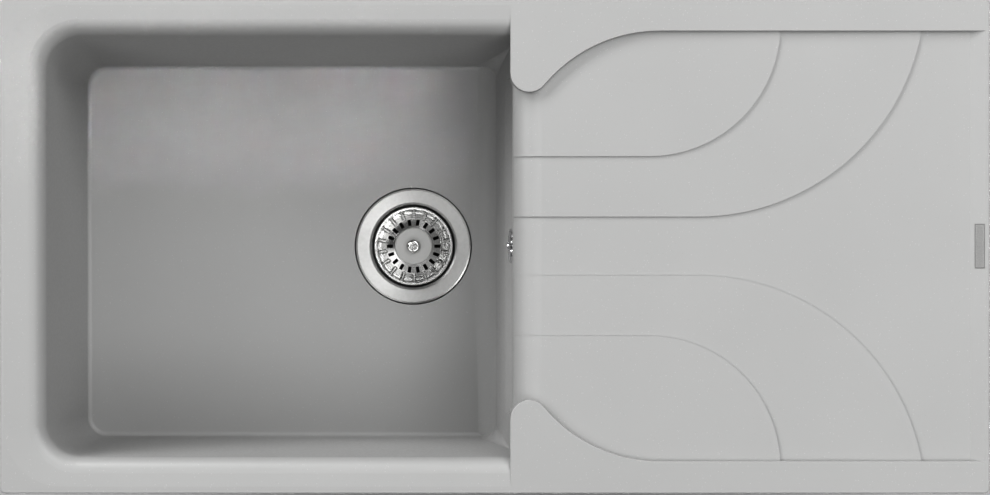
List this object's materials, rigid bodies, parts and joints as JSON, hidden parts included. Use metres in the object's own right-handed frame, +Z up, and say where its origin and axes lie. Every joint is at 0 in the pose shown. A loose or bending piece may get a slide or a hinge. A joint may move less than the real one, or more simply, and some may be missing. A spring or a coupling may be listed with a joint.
{
  "type": "kitchen sink with drainboard",
  "caption": "Inset granite composite kitchen sink: one deep bowl, stepped drainboard with two peninsulas, basket strainer, overflow, waste body and rim clips.",
  "frame": {"origin": "middle of the sink in plan, at the height of the worktop's top face that the rim rests on", "axes": "+X along the length from the bowl to the drainboard, +Y to the rear edge, +Z up"},
  "size_m": [1, 0.5, 0.32],
  "materials": {
    "granite_composite": "matt light grey, very fine speckle",
    "pressed_steel": "satin pressed stainless steel",
    "turned_steel": "bright turned stainless steel",
    "chrome_cover": "bright chrome",
    "fixing_steel": "zinc plated",
    "clip_brass": "plain brass",
    "seal_foam": "dark foam strip",
    "gasket_rubber": "black rubber",
    "waste_plastic": "light grey plastic",
    "hose_plastic": "grey flexible plastic"
  },
  "bodies": {
    "sink": {"sink_basin": "granite_composite", "strainer_cup": "pressed_steel", "centre_screw": "turned_steel", "overflow_rosette": "chrome_cover", "overflow_screw": "chrome_cover", "clip_screws": "fixing_steel", "hose_clips": "fixing_steel", "clip_inserts": "clip_brass", "waste_insert": "clip_brass", "rim_seal": "seal_foam", "flange_gasket": "gasket_rubber", "body_gasket": "gasket_rubber", "overflow_gasket": "gasket_rubber", "waste_body": "waste_plastic", "inlet_nut": "waste_plastic", "overflow_housing": "waste_plastic", "overflow_bend": "waste_plastic", "overflow_hose": "hose_plastic"},
    "plug": {"basket_stem": "turned_steel", "basket_knob": "turned_steel", "basket_stopper": "gasket_rubber"},
    "basket": {"basket": "pressed_steel"},
    "clip_1": {"clip_arm_1": "fixing_steel"},
    "clip_2": {"clip_arm_2": "fixing_steel"},
    "clip_3": {"clip_arm_3": "fixing_steel"},
    "clip_4": {"clip_arm_4": "fixing_steel"},
    "clip_5": {"clip_arm_5": "fixing_steel"},
    "clip_6": {"clip_arm_6": "fixing_steel"},
    "clip_7": {"clip_arm_7": "fixing_steel"},
    "clip_8": {"clip_arm_8": "fixing_steel"}
  },
  "joints": [
    {"name": "basket_lift", "type": "slide", "parent": "sink", "child": "plug", "axis": [0, 0, 1], "range_m": [0, 0.27]},
    {"name": "basket_spin", "type": "hinge", "parent": "plug", "child": "basket", "pos_m": [-0.089, 0, -0.207], "axis": [0, 0, 1], "continuous": true},
    {"name": "clip_swing_1", "type": "hinge", "parent": "sink", "child": "clip_1", "pos_m": [-0.38, 0.23, -0.046], "axis": [0, 0, 1], "range_deg": [0, 90]},
    {"name": "clip_swing_2", "type": "hinge", "parent": "sink", "child": "clip_2", "pos_m": [-0.15, 0.23, -0.046], "axis": [0, 0, 1], "range_deg": [0, 90]},
    {"name": "clip_swing_3", "type": "hinge", "parent": "sink", "child": "clip_3", "pos_m": [0.19, 0.23, -0.046], "axis": [0, 0, 1], "range_deg": [0, 90]},
    {"name": "clip_swing_4", "type": "hinge", "parent": "sink", "child": "clip_4", "pos_m": [0.4, 0.23, -0.046], "axis": [0, 0, 1], "range_deg": [0, 90]},
    {"name": "clip_swing_5", "type": "hinge", "parent": "sink", "child": "clip_5", "pos_m": [-0.38, -0.23, -0.046], "axis": [0, 0, -1], "range_deg": [0, 90]},
    {"name": "clip_swing_6", "type": "hinge", "parent": "sink", "child": "clip_6", "pos_m": [-0.15, -0.23, -0.046], "axis": [0, 0, -1], "range_deg": [0, 90]},
    {"name": "clip_swing_7", "type": "hinge", "parent": "sink", "child": "clip_7", "pos_m": [0.19, -0.23, -0.046], "axis": [0, 0, -1], "range_deg": [0, 90]},
    {"name": "clip_swing_8", "type": "hinge", "parent": "sink", "child": "clip_8", "pos_m": [0.4, -0.23, -0.046], "axis": [0, 0, -1], "range_deg": [0, 90]}
  ]
}
